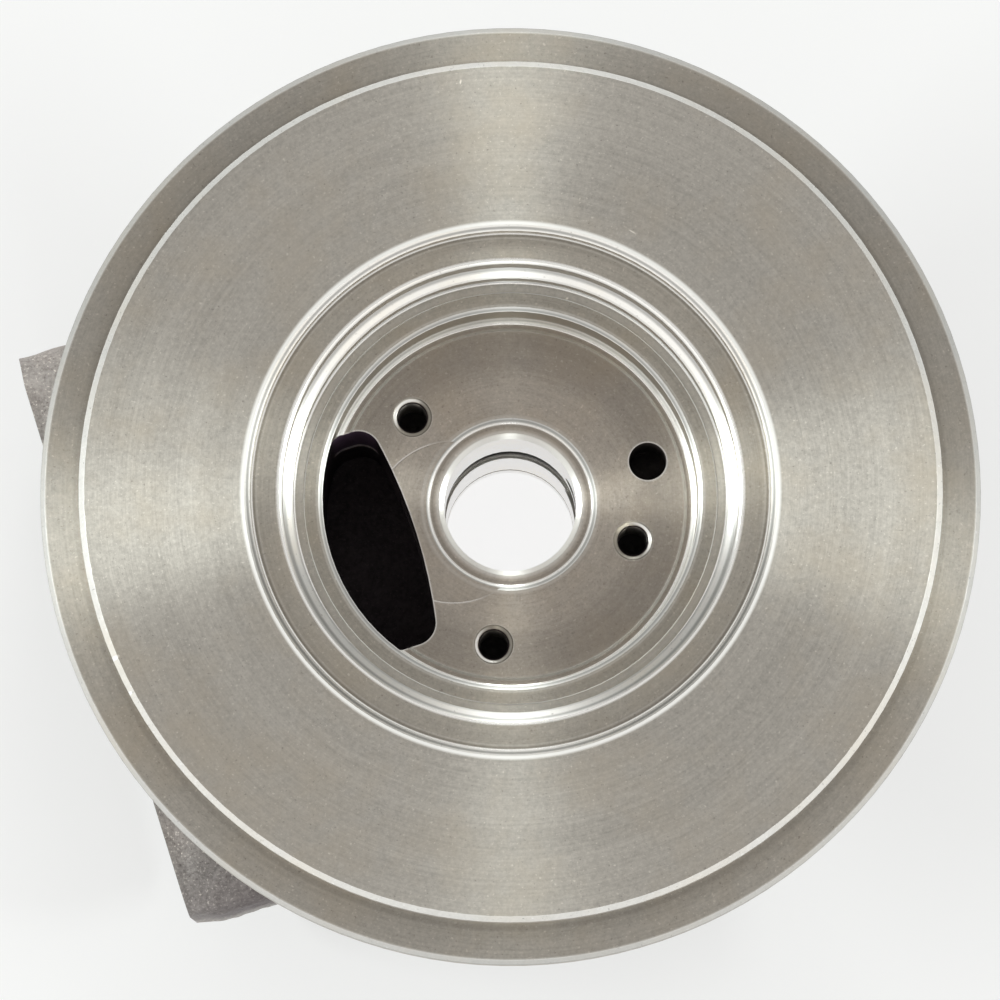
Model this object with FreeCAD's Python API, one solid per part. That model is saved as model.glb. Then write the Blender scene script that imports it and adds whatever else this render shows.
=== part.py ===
import FreeCAD, Part
import math
import os

from FreeCAD import Vector

# Bearing housing of a turbocharger, one iron casting with machined faces, in millimetres.
# The shaft axis is Z, with the compressor face on top. It is built up from the turbine end
# and then lowered, so that Z 0 is the seating face of the turbine flange.

# Compressor end disc
housing_height = 66.0
rim_radius = 52.8
rim_step = 5.7
rim_thickness = 5.0
rim_chamfer = 0.55
face_radius = 48.2
face_chamfer = 0.65
plate_thickness = 6.5

# Stepped recess for the cover plate, the seal plate and the thrust bearing.
# Depths are measured from the compressor face.
mouth_radius = 29.1
mouth_chamfer = 0.65
seat_depth = 2.2
cover_bore_radius = 25.6
cover_bore_round = 0.3
cover_bore_depth = 6.1
seal_bore_radius = 24.5
ledge_depth = 11.2
ledge_relief_width = 1.1
ledge_relief_depth = 0.12
thrust_bore_radius = 21.25
thrust_bore_chamfer = 0.5
floor_depth = 19.5
foot_width = 0.5
foot_height = 1.1
corner_groove_width = 0.6
corner_groove_depth = 0.3

# Journal bore. Lengths run along the shaft axis.
journal_radius = 7.58
collar_radius = 9.9
collar_width = 0.55
collar_depth = 0.4
bore_lead_width = 0.6
bore_lead_height = 0.8
compressor_land_length = 16.8
relief_radius = 9.6
relief_length = 8.3
land_edge = 0.3
ring_groove_offset = 3.2
ring_groove_width = 1.0
ring_groove_depth = 0.55
nose_bore_radius = 8.6
nose_bore_depth = 2.1

# Thrust bearing screws and the oil feed in the recess floor. The screw holes are not evenly
# spaced: each has its own distance from the axis and its own angle from +X.
screw_a_place = 14.97
screw_a_angle = 138.4
screw_b_place = 16.12
screw_b_angle = 263.2
screw_c_place = 14.56
screw_c_angle = 343.4
screw_tap_radius = 1.65
screw_countersink_radius = 2.25
screw_hole_depth = 11.0
drill_point_slope = 0.6
feed_hole_place = 16.4
feed_hole_radius = 2.15

# Turbine end
nose_radius = 14.6
nose_recess = 0.5
nose_draft = 0.6
shield_pocket_depth = 4.6
pilot_wall = 5.0
pilot_radius = 31.0
pilot_length = 3.2
pilot_chamfer = 0.4
turbine_flange_radius = 38.4
turbine_flange_edge = 2.6
turbine_flange_chamfer = 0.4
clamp_slope_width = 5.0
clamp_slope_height = 1.8

# Cast body between the flanges
neck_radius = 23.0
hub_wall = 5.2
hub_flare = 3.0
neck_height = 19.0
cast_fillet = 3.0
hub_fillet = 6.0
rib_seam_fillet = 1.0
flange_seam_fillet = 2.0
drain_seam_fillet = 1.6
inlet_seam_fillet = 3.0
back_rib_count = 6
back_rib_width = 4.0
back_rib_drop = 2.2
back_rib_round = 1.3

# Drain side. Its direction is an angle about Z, counted from +X.
drain_angle = 197.4
drain_face_distance = 49.15
drain_flange_length = 67.0
drain_flange_height = 28.5
drain_flange_base = 9.0
drain_flange_thickness = 11.0
drain_flange_corner = 4.0
drain_flange_edge = 0.8
drain_port_radius = 9.5
drain_bolt_spacing = 50.0
drain_bolt_tap_radius = 3.4
drain_bolt_depth = 15.0
drain_boss_radius = 7.6
drain_boss_floor = 3.5
duct_half_width = 14.0
duct_wall = 4.0
duct_growth = 4.0
ear_web_thickness = 8.0

# Drain window in the recess floor and the cavity below it
window_inner_distance = 11.2
window_inner_arc = 58.0
window_upper_half = 13.3
window_lower_half = 12.2
window_corner = 2.6
window_roof = 1.2
window_overhang = 0.5
cavity_floor = 13.5
return_slot_half = 6.0
return_slot_margin = 0.6

# Shallow milled relief between the bore collar and the drain window
floor_relief_place = 6.8
floor_relief_radius = 9.2
floor_relief_depth = 0.22

# Oil inlet, opposite the drain
inlet_height = 34.0
inlet_boss_radius = 11.0
inlet_face_distance = 37.0
inlet_face_edge = 0.8
inlet_tap_radius = 4.5
inlet_tap_depth = 11.0
tap_countersink = 0.7
gallery_radius = 2.0
gallery_target_height = 14.0

# Room that a cutting shape has outside the metal, and the lengths taken as zero
cut_clear = 1.0
point_tolerance = 0.0001
seam_tolerance = 0.001

# Shares of an edge's length at which it is compared with a seam
seam_test_shares = (0.27, 0.5)

# Values worked out from the ones above
rim_front = housing_height - rim_step
rim_back = rim_front - rim_thickness
floor_height = housing_height - floor_depth
ledge_height = housing_height - ledge_depth
plate_back = housing_height - plate_thickness
land_top = floor_height - collar_depth - bore_lead_height
relief_top = floor_height - compressor_land_length
relief_bottom = relief_top - relief_length
flange_top = pilot_length + turbine_flange_edge
clamp_top = flange_top + clamp_slope_height
hub_low_radius = thrust_bore_radius + hub_wall
hub_top_radius = seal_bore_radius + hub_wall
drain_height = drain_flange_base + drain_flange_height / 2.0
drain_plate_back = drain_face_distance - drain_flange_thickness
pocket_radius = face_radius - plate_thickness + rim_chamfer


def rounded_wire(points):
    # Closed wire through corners given as (vector, fillet radius).
    count = len(points)
    entries, exits, edges = [], [], []
    for index, (corner, radius) in enumerate(points):
        if radius <= 0.0:
            entries.append(corner)
            exits.append(corner)
            continue
        inward = (points[index - 1][0] - corner).normalize()
        outward = (points[(index + 1) % count][0] - corner).normalize()
        half_angle = inward.getAngle(outward) / 2.0
        reach = radius / math.tan(half_angle)
        bisector = (inward + outward).normalize()
        centre = corner + bisector * (radius / math.sin(half_angle))
        start = corner + inward * reach
        end = corner + outward * reach
        middle = centre - bisector * radius
        entries.append(start)
        exits.append(end)
        edges.append(Part.Arc(start, middle, end).toShape())
    for index in range(count):
        start = exits[index - 1]
        end = entries[index]
        if start.distanceToPoint(end) > point_tolerance:
            edges.append(Part.LineSegment(start, end).toShape())
    return Part.Wire(Part.__sortEdges__(edges))


def turned(profile):
    # Solid of revolution about Z from (radius, height, fillet) corners.
    corners = [(Vector(radius, 0.0, height), fillet) for radius, height, fillet in profile]
    face = Part.Face(rounded_wire(corners))
    return face.revolve(Vector(0, 0, 0), Vector(0, 0, 1), 360.0)


def rod(radius, start, end):
    # Round bar between two points.
    direction = end - start
    return Part.makeCylinder(radius, direction.Length, start, direction)


def cone(start_radius, end_radius, start, end):
    # Round taper between two points.
    direction = end - start
    return Part.makeCone(start_radius, end_radius, direction.Length, start, direction)


def rounded_section(distance, half_width, low, high, corner):
    # Rounded rectangle standing across the drain direction.
    corners = [
        (Vector(distance, -half_width, low), corner),
        (Vector(distance, half_width, low), corner),
        (Vector(distance, half_width, high), corner),
        (Vector(distance, -half_width, high), corner),
    ]
    return rounded_wire(corners)


def blended(base, piece, radius):
    # Joins a cast piece to the base and rounds the seam between the two.
    seam = base.section(piece)
    joined = base.fuse(piece).removeSplitter()
    edges = [edge for edge in joined.Edges if follows(edge, seam)]
    return joined.makeFillet(radius, edges)


def follows(edge, seam):
    # True for an edge that lies on the seam.
    span = edge.LastParameter - edge.FirstParameter
    for share in seam_test_shares:
        point = Part.Vertex(edge.valueAt(edge.FirstParameter + share * span))
        if seam.distToShape(point)[0] > seam_tolerance:
            return False
    return True


def turned_body():
    # Nose, pilot, clamp flange, neck, hub, backplate and rim, turned in one profile.
    nose_foot = nose_radius + nose_draft
    pilot_inner = pilot_radius - pilot_wall
    clamp_root = turbine_flange_radius - clamp_slope_width
    rim_ring = pocket_radius + cast_fillet
    profile = [
        (0.0, nose_recess, 0.0),
        (nose_radius, nose_recess, nose_draft),
        (nose_foot, shield_pocket_depth, nose_draft),
        (pilot_inner, shield_pocket_depth, nose_draft),
        (pilot_inner, 0.0, 0.0),
        (pilot_radius - pilot_chamfer, 0.0, 0.0),
        (pilot_radius, pilot_chamfer, 0.0),
        (pilot_radius, pilot_length, 0.0),
        (turbine_flange_radius - turbine_flange_chamfer, pilot_length, 0.0),
        (turbine_flange_radius, pilot_length + turbine_flange_chamfer, 0.0),
        (turbine_flange_radius, flange_top, 0.0),
        (clamp_root, clamp_top, cast_fillet),
        (neck_radius, clamp_top + cast_fillet, cast_fillet),
        (neck_radius, neck_height, hub_fillet),
        (hub_low_radius, relief_top, hub_fillet),
        (hub_low_radius, floor_height, hub_fillet),
        (hub_top_radius, ledge_height, cast_fillet),
        (hub_top_radius + hub_flare, plate_back, cast_fillet),
        (pocket_radius, plate_back, cast_fillet),
        (rim_ring, rim_back, rim_chamfer),
        (rim_radius - rim_chamfer, rim_back, 0.0),
        (rim_radius, rim_back + rim_chamfer, 0.0),
        (rim_radius, rim_front - rim_chamfer, 0.0),
        (rim_radius - rim_chamfer, rim_front, 0.0),
        (face_radius, rim_front, 0.0),
        (face_radius, housing_height - face_chamfer, 0.0),
        (face_radius - face_chamfer, housing_height, 0.0),
        (0.0, housing_height, 0.0),
    ]
    return turned(profile)


def recess_cut():
    # Stepped recess and journal bore, turned from the compressor side.
    top = housing_height + cut_clear
    mouth_top = mouth_radius + mouth_chamfer
    seat = housing_height - seat_depth
    cover_foot = housing_height - cover_bore_depth
    cone_width = cover_bore_radius - seal_bore_radius
    relief_inner = seal_bore_radius - ledge_relief_width
    foot_radius = thrust_bore_radius - foot_width
    groove_inner = foot_radius - corner_groove_width
    collar_inner = collar_radius - collar_width
    groove_low = nose_bore_depth + ring_groove_offset
    groove_high = groove_low + ring_groove_width
    groove_wall = journal_radius + ring_groove_depth
    lead_radius = journal_radius + bore_lead_width
    edge_radius = journal_radius + land_edge
    profile = [
        (0.0, top, 0.0),
        (mouth_top, top, 0.0),
        (mouth_top, housing_height, 0.0),
        (mouth_radius, housing_height - mouth_chamfer, 0.0),
        (mouth_radius, seat, 0.0),
        (cover_bore_radius + cover_bore_round, seat, 0.0),
        (cover_bore_radius, seat - cover_bore_round, 0.0),
        (cover_bore_radius, cover_foot, 0.0),
        (seal_bore_radius, cover_foot - cone_width, 0.0),
        (seal_bore_radius, ledge_height - ledge_relief_depth, 0.0),
        (relief_inner, ledge_height - ledge_relief_depth, 0.0),
        (relief_inner - ledge_relief_depth, ledge_height, 0.0),
        (thrust_bore_radius + thrust_bore_chamfer, ledge_height, 0.0),
        (thrust_bore_radius, ledge_height - thrust_bore_chamfer, 0.0),
        (thrust_bore_radius, floor_height + foot_height, 0.0),
        (foot_radius, floor_height, 0.0),
        (foot_radius, floor_height - corner_groove_depth, 0.0),
        (groove_inner, floor_height - corner_groove_depth, 0.0),
        (groove_inner - corner_groove_depth, floor_height, 0.0),
        (collar_radius, floor_height, 0.0),
        (collar_inner, floor_height - collar_depth, 0.0),
        (lead_radius, floor_height - collar_depth, 0.0),
        (journal_radius, land_top, 0.0),
        (journal_radius, relief_top + land_edge, 0.0),
        (edge_radius, relief_top, 0.0),
        (relief_radius, relief_top, 0.0),
        (relief_radius, relief_bottom, 0.0),
        (edge_radius, relief_bottom, 0.0),
        (journal_radius, relief_bottom - land_edge, 0.0),
        (journal_radius, groove_high, 0.0),
        (groove_wall, groove_high, 0.0),
        (groove_wall, groove_low, 0.0),
        (journal_radius, groove_low, 0.0),
        (journal_radius, nose_bore_depth, 0.0),
        (nose_bore_radius, nose_bore_depth, 0.0),
        (nose_bore_radius, -cut_clear, 0.0),
        (0.0, -cut_clear, 0.0),
    ]
    return turned(profile)


def back_ribs():
    # Radial ribs across the cored pocket behind the backplate.
    inner = hub_top_radius - cut_clear
    reach = pocket_radius + cast_fillet - inner
    rib_foot = plate_back - back_rib_drop
    ribs = []
    for index in range(back_rib_count):
        rib = Part.makeBox(reach, back_rib_width, back_rib_drop + cut_clear)
        rib.translate(Vector(inner, -back_rib_width / 2.0, rib_foot))
        crown = [edge for edge in rib.Edges if is_rib_crown(edge, rib_foot)]
        rib = rib.makeFillet(back_rib_round, crown)
        turn = (index + 0.5) * 360.0 / back_rib_count
        rib.rotate(Vector(0, 0, 0), Vector(0, 0, 1), turn)
        ribs.append(rib)
    return ribs


def is_rib_crown(edge, height):
    # True for a long edge of the rib's free side.
    box = edge.BoundBox
    flat = abs(box.ZMax - height) < point_tolerance
    return flat and box.XLength > back_rib_width


def drain_flange():
    # Machined drain flange with the web, the bolt bosses and the duct behind it.
    half = drain_flange_length / 2.0
    top = drain_flange_base + drain_flange_height
    outline = rounded_section(drain_plate_back, half, drain_flange_base, top, drain_flange_corner)
    plate = Part.Face(outline).extrude(Vector(drain_flange_thickness, 0, 0))
    back_edges = [edge for edge in plate.Edges if is_across(edge, drain_plate_back)]
    plate = plate.makeFillet(drain_flange_edge, back_edges)
    duct_top = drain_height + drain_port_radius + duct_wall
    duct_low = drain_height - drain_port_radius - duct_wall
    root_half = duct_half_width + duct_growth
    root_top = duct_top + duct_growth
    plate_inside = drain_plate_back + cut_clear
    root = rounded_section(0.0, root_half, duct_low, root_top, cast_fillet)
    end = rounded_section(plate_inside, duct_half_width, duct_low, duct_top, cast_fillet)
    duct = Part.makeLoft([root, end], True)
    boss_start = drain_face_distance - drain_bolt_depth - drain_boss_floor
    across = drain_bolt_spacing / 2.0
    start = Vector(boss_start, across, drain_height)
    boss = rod(drain_boss_radius, start, Vector(plate_inside, across, drain_height))
    rear = [edge for edge in boss.Edges if is_across(edge, boss_start)]
    boss = boss.makeFillet(cast_fillet, rear)
    other_boss = boss.copy()
    other_boss.rotate(Vector(0, 0, drain_height), Vector(1, 0, 0), 180.0)
    flange = blended(plate, ear_web(boss_start), flange_seam_fillet)
    flange = blended(flange, boss, flange_seam_fillet)
    flange = blended(flange, other_boss, flange_seam_fillet)
    return blended(flange, duct, flange_seam_fillet)


def ear_web(boss_start):
    # Flat cast web that runs from the neck to both bolt bosses and widens outwards.
    narrow = duct_half_width + duct_growth
    wide = (drain_bolt_spacing + drain_boss_radius) / 2.0
    low = drain_height - ear_web_thickness / 2.0
    end = drain_plate_back + cut_clear
    outline = [(0.0, narrow), (boss_start, wide), (end, wide)]
    corners = [Vector(distance, -across, low) for distance, across in outline]
    corners += [Vector(distance, across, low) for distance, across in reversed(outline)]
    face = Part.Face(Part.makePolygon(corners + corners[:1]))
    web = face.extrude(Vector(0, 0, ear_web_thickness))
    sides = [edge for edge in web.Edges if is_side(edge, narrow)]
    return web.makeFillet(cast_fillet, sides)


def is_side(edge, half_width):
    # True for a level edge that lies on one side of X, outside this half width.
    box = edge.BoundBox
    level = box.ZLength < point_tolerance
    one_side = box.YMin * box.YMax > 0.0
    nearest = min(abs(box.YMin), abs(box.YMax))
    return level and one_side and nearest > half_width - point_tolerance


def is_across(edge, distance):
    # True for an edge that lies in the plane across X at this distance.
    box = edge.BoundBox
    near = abs(box.XMin - distance) < point_tolerance
    far = abs(box.XMax - distance) < point_tolerance
    return near and far


def inlet_boss():
    # Round boss for the oil inlet.
    face = -inlet_face_distance
    boss = rod(inlet_boss_radius, Vector(0, 0, inlet_height), Vector(face, 0, inlet_height))
    rim = [edge for edge in boss.Edges if is_across(edge, face)]
    return boss.makeChamfer(inlet_face_edge, rim)


def drain_window():
    # Outline of the window in the recess floor: an inner arc, the recess wall and two ends.
    outer = thrust_bore_radius + window_overhang
    arc_centre = window_inner_distance + window_inner_arc
    height = ledge_height - window_roof - cavity_floor
    wall_side = Part.makeCylinder(outer, height, Vector(0, 0, cavity_floor))
    strip = Part.makeBox(outer, window_upper_half + window_lower_half, height)
    strip.translate(Vector(0, -window_upper_half, cavity_floor))
    bow = Part.makeCylinder(window_inner_arc, height, Vector(arc_centre, 0, cavity_floor))
    window = wall_side.common(strip).common(bow)
    uprights = [edge for edge in window.Edges if is_upright(edge)]
    return window.makeFillet(window_corner, uprights)


def is_upright(edge):
    # True for an edge that runs along Z.
    box = edge.BoundBox
    return box.XLength < point_tolerance and box.YLength < point_tolerance


def drain_cuts():
    # Window, drain port, the slot from the journal relief and the flange's tapped holes.
    cuts = [drain_window(), floor_relief(), return_slot()]
    port_start = Vector(window_inner_distance + window_corner, 0, drain_height)
    port_end = Vector(drain_face_distance + cut_clear, 0, drain_height)
    cuts.append(rod(drain_port_radius, port_start, port_end))
    for side in (-1.0, 1.0):
        across = side * drain_bolt_spacing / 2.0
        mouth = Vector(drain_face_distance, across, drain_height)
        inward = Vector(-1, 0, 0)
        radius = drain_bolt_tap_radius
        cuts.extend(tapped_hole(mouth, inward, radius, drain_bolt_depth, tap_countersink))
    return cuts


def return_slot():
    # Slot that lets oil leave the relief between the journal lands.
    height = relief_length - 2.0 * return_slot_margin
    slot = Part.makeBox(window_inner_distance + window_corner, 2.0 * return_slot_half, height)
    slot.translate(Vector(0, -return_slot_half, relief_bottom + return_slot_margin))
    return slot


def floor_relief():
    # Shallow round relief in the recess floor, off centre towards the drain.
    centre = Vector(floor_relief_place, 0, floor_height - floor_relief_depth)
    return Part.makeCylinder(floor_relief_radius, cut_clear, centre)


def tapped_hole(mouth, inward, radius, depth, countersink):
    # Drilled hole with its drill point and a countersunk mouth.
    bottom = mouth + inward * depth
    point = bottom + inward * (radius * drill_point_slope)
    outside = mouth - inward * cut_clear
    sink = mouth + inward * countersink
    hole = rod(radius, outside, bottom)
    drill_point = cone(radius, 0.0, bottom, point)
    bevel = cone(radius + countersink, radius, mouth, sink)
    return [hole, drill_point, bevel]


def screw_holes():
    # Tapped holes for the thrust bearing screws.
    cuts = []
    countersink = screw_countersink_radius - screw_tap_radius
    places = [
        (screw_a_place, screw_a_angle),
        (screw_b_place, screw_b_angle),
        (screw_c_place, screw_c_angle),
    ]
    for distance, angle in places:
        turn = math.radians(angle)
        mouth = Vector(distance * math.cos(turn), distance * math.sin(turn), floor_height)
        down = Vector(0, 0, -1)
        cuts.extend(tapped_hole(mouth, down, screw_tap_radius, screw_hole_depth, countersink))
    return cuts


def oil_cuts():
    # Tapped oil inlet, the two galleries to the journal lands and the thrust feed hole.
    mouth = Vector(-inlet_face_distance, 0, inlet_height)
    inward = Vector(1, 0, 0)
    cuts = tapped_hole(mouth, inward, inlet_tap_radius, inlet_tap_depth, tap_countersink)
    gallery_start = mouth + inward * inlet_tap_depth
    cuts.append(rod(gallery_radius, gallery_start, Vector(0, 0, inlet_height)))
    cuts.append(rod(gallery_radius, gallery_start, Vector(0, 0, gallery_target_height)))
    feed_mouth = Vector(-feed_hole_place, 0, floor_height + cut_clear)
    cuts.append(rod(feed_hole_radius, feed_mouth, Vector(-feed_hole_place, 0, inlet_height)))
    return cuts


def toward_drain(shapes):
    # Turns shapes built along +X to the drain direction.
    for shape in shapes:
        shape.rotate(Vector(0, 0, 0), Vector(0, 0, 1), drain_angle)
    return shapes


def bearing_housing():
    casting = turned_body()
    for rib in back_ribs():
        casting = blended(casting, rib, rib_seam_fillet)
    casting = blended(casting, inlet_boss(), inlet_seam_fillet)
    casting = blended(casting, drain_flange(), drain_seam_fillet)
    casting = toward_drain([casting])[0]
    cuts = [recess_cut()] + screw_holes() + toward_drain(drain_cuts() + oil_cuts())
    casting = casting.cut(cuts).removeSplitter()
    casting.translate(Vector(0, 0, -pilot_length))
    return casting


os.makedirs("parts", exist_ok=True)
housing = bearing_housing()
housing.exportStep("parts/bearing_housing.step")
box = housing.BoundBox
print("solids", len(housing.Solids), "valid", housing.isValid(), "volume", round(housing.Volume))
print("box", round(box.XMin, 2), round(box.YMin, 2), round(box.ZMin, 2))
print("to", round(box.XMax, 2), round(box.YMax, 2), round(box.ZMax, 2))
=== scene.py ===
import bpy
import math
import numpy as np
from mathutils import Vector, Matrix


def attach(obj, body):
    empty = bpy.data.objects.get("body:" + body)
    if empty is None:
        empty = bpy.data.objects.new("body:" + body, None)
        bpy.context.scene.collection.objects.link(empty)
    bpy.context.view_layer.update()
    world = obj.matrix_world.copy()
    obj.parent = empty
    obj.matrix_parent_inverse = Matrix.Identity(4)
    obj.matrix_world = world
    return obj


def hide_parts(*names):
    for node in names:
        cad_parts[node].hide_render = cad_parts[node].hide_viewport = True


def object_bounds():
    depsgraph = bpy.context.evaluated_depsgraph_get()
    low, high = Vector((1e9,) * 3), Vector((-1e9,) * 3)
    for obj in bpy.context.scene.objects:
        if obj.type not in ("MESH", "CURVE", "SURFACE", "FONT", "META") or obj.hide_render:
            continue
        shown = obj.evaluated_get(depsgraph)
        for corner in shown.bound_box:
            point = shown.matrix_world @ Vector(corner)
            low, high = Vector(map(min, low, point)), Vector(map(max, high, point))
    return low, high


# Bearing housing of a turbocharger: one iron casting, turned faces up, standing on its turbine end.
# Metres, Z up the shaft axis. All sizes in the dictionaries are in millimetres.

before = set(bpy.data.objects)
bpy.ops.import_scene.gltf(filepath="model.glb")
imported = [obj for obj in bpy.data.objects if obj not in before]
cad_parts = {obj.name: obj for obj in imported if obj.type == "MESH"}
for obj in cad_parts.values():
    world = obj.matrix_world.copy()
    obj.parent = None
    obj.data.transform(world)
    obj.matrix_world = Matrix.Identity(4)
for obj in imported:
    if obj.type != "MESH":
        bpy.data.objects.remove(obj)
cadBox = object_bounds()
mm = 0.001

drain = {
    "angle": 197.4,          # degrees from +X, the way the oil drain points
    "faceDistance": 49.15,
    "boltSpacing": 50.0,
    "height": 20.05,
}
inlet = {
    "height": 30.8,
    "faceDistance": 37.0,
}
drainWay = np.array([math.cos(math.radians(drain["angle"])), math.sin(math.radians(drain["angle"])), 0.0])
acrossWay = np.array([-drainWay[1], drainWay[0], 0.0])

recess = {
    "floorHeight": 43.3,
    "reach": 29.8,           # radius just past its mouth
    "under": 42.6,           # height just under its floor
    "cutRadius": 30.0,       # inside this the mesh is cut at the floor's height
    "screws": [(14.97, 138.4), (16.12, 263.2), (14.56, 343.4)],  # distance and angle, uneven
    "feedDistance": 16.4,    # of the oil feed hole, straight across from the drain
}


casting = {
    "castEdge": 2.2,         # longest triangle side on the cast skin
    "earEdge": 0.8,          # and on the ears of the drain flange, which show from the front
    "earsPast": (30.0, 18.0),  # where those begin, along the drain and across it
    "lumpSize": 5.5,
    "lumpDepth": 0.16,
    "grainSize": 1.1,
    "grainDepth": 0.10,
    "pitSize": 2.1,
    "pitDepth": 0.22,
    "earCalm": 0.7,          # share of the lumps that the ears lack
    "fadeWidth": 1.0,        # the skin calms down this near to a machined edge
    "sharpAngle": 24.0,
    "castSharpAngle": 62.0,
    "earFrom": 30.6,         # the ears grow by earGrowth from here to earFull, measured along
    "earFull": 32.4,         # the drain flange from its middle
    "earGrowth": (0.75, 0.9),
    "earBehind": 28.0,       # ears are found past this distance along the drain
    "earTop": 50.0,          # and below this height
    "cornerFade": 3.6,       # depth behind the drain face in which the lower ear's growth fades
}


def latticeNoise(points, size, seed):
    # smooth noise in -1..1: random values on a cubic lattice of this size, blended with 3t^2 - 2t^3
    across = 32
    rng = np.random.default_rng(seed)
    lattice = rng.uniform(-1.0, 1.0, (across, across, across))
    stretched = points / size + 100.0
    cell = np.floor(stretched).astype(int)
    part = stretched - cell
    part = part * part * (3.0 - 2.0 * part)
    total = np.zeros(len(points))
    for corner in range(8):
        offset = np.array([corner & 1, (corner >> 1) & 1, (corner >> 2) & 1])
        at = (cell + offset) % across
        weight = np.prod(np.where(offset == 1, part, 1.0 - part), axis=1)
        total += weight * lattice[at[:, 0], at[:, 1], at[:, 2]]
    return total


threads = {
    # tap drill radius, thread's outer radius, pitch, where the thread starts and ends below the
    # mouth, points round and rows in one pitch
    "screw": {"tap": 1.65, "major": 2.0, "pitch": 0.7, "start": 0.6, "end": 11.0, "round": 36, "rows": 6},
    "drainBolt": {"tap": 3.4, "major": 4.0, "pitch": 1.25, "start": 0.7, "end": 15.0, "round": 44, "rows": 7},
    "inlet": {"tap": 4.5, "major": 5.0, "pitch": 1.0, "start": 0.7, "end": 11.0, "round": 52, "rows": 6},
}


def threadPlaces():
    # every tapped hole as (kind, mouth, inward direction)
    down = np.array([0.0, 0.0, -1.0])
    holes = [("screw", np.array([x, y, recess["floorHeight"]]), down) for x, y in screwPlaces()]
    for side in (-1, 1):
        mouth = drainWay * drain["faceDistance"] + acrossWay * side * drain["boltSpacing"] / 2.0
        holes.append(("drainBolt", mouth + np.array([0.0, 0.0, drain["height"]]), -drainWay))
    mouth = np.array([0.0, 0.0, inlet["height"]]) - drainWay * inlet["faceDistance"]
    holes.append(("inlet", mouth, drainWay))
    return holes


def threadWall(kind, mouth, inward):
    # wall of a tapped hole: radius = tap + (major - tap) * groove, where the groove is flat for an
    # eighth of the pitch, the crest for a quarter, and the flanks between them are straight
    size = threads[kind]
    turns = (size["end"] - size["start"]) / size["pitch"]
    rows = int(turns * size["rows"]) + 1
    depth = np.linspace(size["start"], size["end"], rows)
    angle = np.linspace(0.0, 2.0 * math.pi, size["round"], endpoint=False)
    phase = (depth[:, None] / size["pitch"] - angle[None, :] / (2.0 * math.pi)) % 1.0
    groove = np.clip((0.375 - np.abs(phase - 0.5)) / 0.3125, 0.0, 1.0)
    runIn = np.clip(np.minimum(depth - size["start"], size["end"] - depth) / (size["pitch"] * 0.6), 0.0, 1.0)
    radius = size["tap"] + (size["major"] - size["tap"]) * groove * runIn[:, None]
    side = np.array([0.0, 0.0, 1.0]) if abs(inward[2]) < 0.5 else np.array([1.0, 0.0, 0.0])
    other = np.cross(inward, side)
    ring = np.cos(angle)[:, None] * side + np.sin(angle)[:, None] * other
    places = mouth + depth[:, None, None] * inward + radius[:, :, None] * ring[None, :, :]
    index = np.arange(rows * size["round"]).reshape(rows, -1)
    nextIndex = np.roll(index, -1, axis=1)
    a, b, c, d = index[:-1].ravel(), nextIndex[:-1].ravel(), nextIndex[1:].ravel(), index[1:].ravel()
    corners = np.concatenate([np.stack([a, b, c], 1), np.stack([a, c, d], 1)])
    return places.reshape(-1, 3), corners


def onPlainWall(places, corners, kind, mouth, inward):
    # triangles of the plain hole wall that the thread takes the place of
    size = threads[kind]
    slack = 0.02
    offset = places - mouth
    depth = offset @ inward
    radius = np.linalg.norm(offset - depth[:, None] * inward, axis=1)
    onWall = np.abs(radius - size["tap"]) < 0.03
    fits = onWall & (depth > size["start"] - slack) & (depth < size["end"] + slack)
    return fits[corners].all(axis=1)


def cutThreads(places, corners):
    # takes the plain walls out and puts thread walls in; the last number counts the new triangles
    added = 0
    for kind, mouth, inward in threadPlaces():
        corners = corners[~onPlainWall(places, corners, kind, mouth, inward)]
    for kind, mouth, inward in threadPlaces():
        wall, sides = threadWall(kind, mouth, inward)
        corners = np.concatenate([corners, sides + len(places)])
        places = np.concatenate([places, wall])
        added += len(sides)
    return places, corners, added


slotNames = [
    "face", "rim", "seat", "ledge", "floor", "lip", "edge", "bore", "turbine",
    "skin", "cavity", "drilled", "milled", "sink", "ringed", "thread",
]


far = 1e9                        # past everything
ringRegions = [
    # finish, range of heights, range of radii and whether only level faces have it, in the order
    # of painting; each number stands a little off the edge that it is for
    ("rim", (52.05, far), (45.2, far), False),
    ("rim", (57.05, far), (recess["reach"], far), False),
    ("face", (62.75, far), (0.0, far), True),
    ("seat", (recess["under"], far), (0.0, recess["reach"]), False),
    ("ledge", (51.3, 51.65), (0.0, recess["reach"]), True),
    ("floor", (recess["under"], 43.4), (0.0, recess["reach"]), True),
    ("bore", (-2.75, 42.8), (0.0, 9.7), False),
    ("turbine", (-far, 4.45), (33.2, far), False),
    ("turbine", (-far, 0.05), (30.5, far), False),
    ("turbine", (-far, 2.0), (7.6, 31.01), False),
]
chamfers = {
    "rise": (0.2, 0.97),         # a chamfer's normal has this much of its length upright
    "edgeFrom": 7.4,             # radius
    "clampSlope": (0.1, 4.45),   # heights of the turbine flange's slope, which is no chamfer
    "leadHeight": 42.0,          # the lead-in of the bore lies above this
    "leadRadius": 8.3,           # and inside this
    "plainFloor": (10.0, 20.4),  # radii of the floor, which has none
}
window = {
    "radius": 21.85,
    "heights": (10.2, 50.5),
    "from": 7.0,                 # along the drain
    "wallTop": 42.95,
    "facing": -0.98,             # the thrust bore's wall faces the axis more than this
    "roof": 42.0,
    "boreWall": 9.7,
    "port": (11.0, 49.0),        # the duct behind it, along the drain, and its radius
    "portRadius": 9.7,
}
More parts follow.
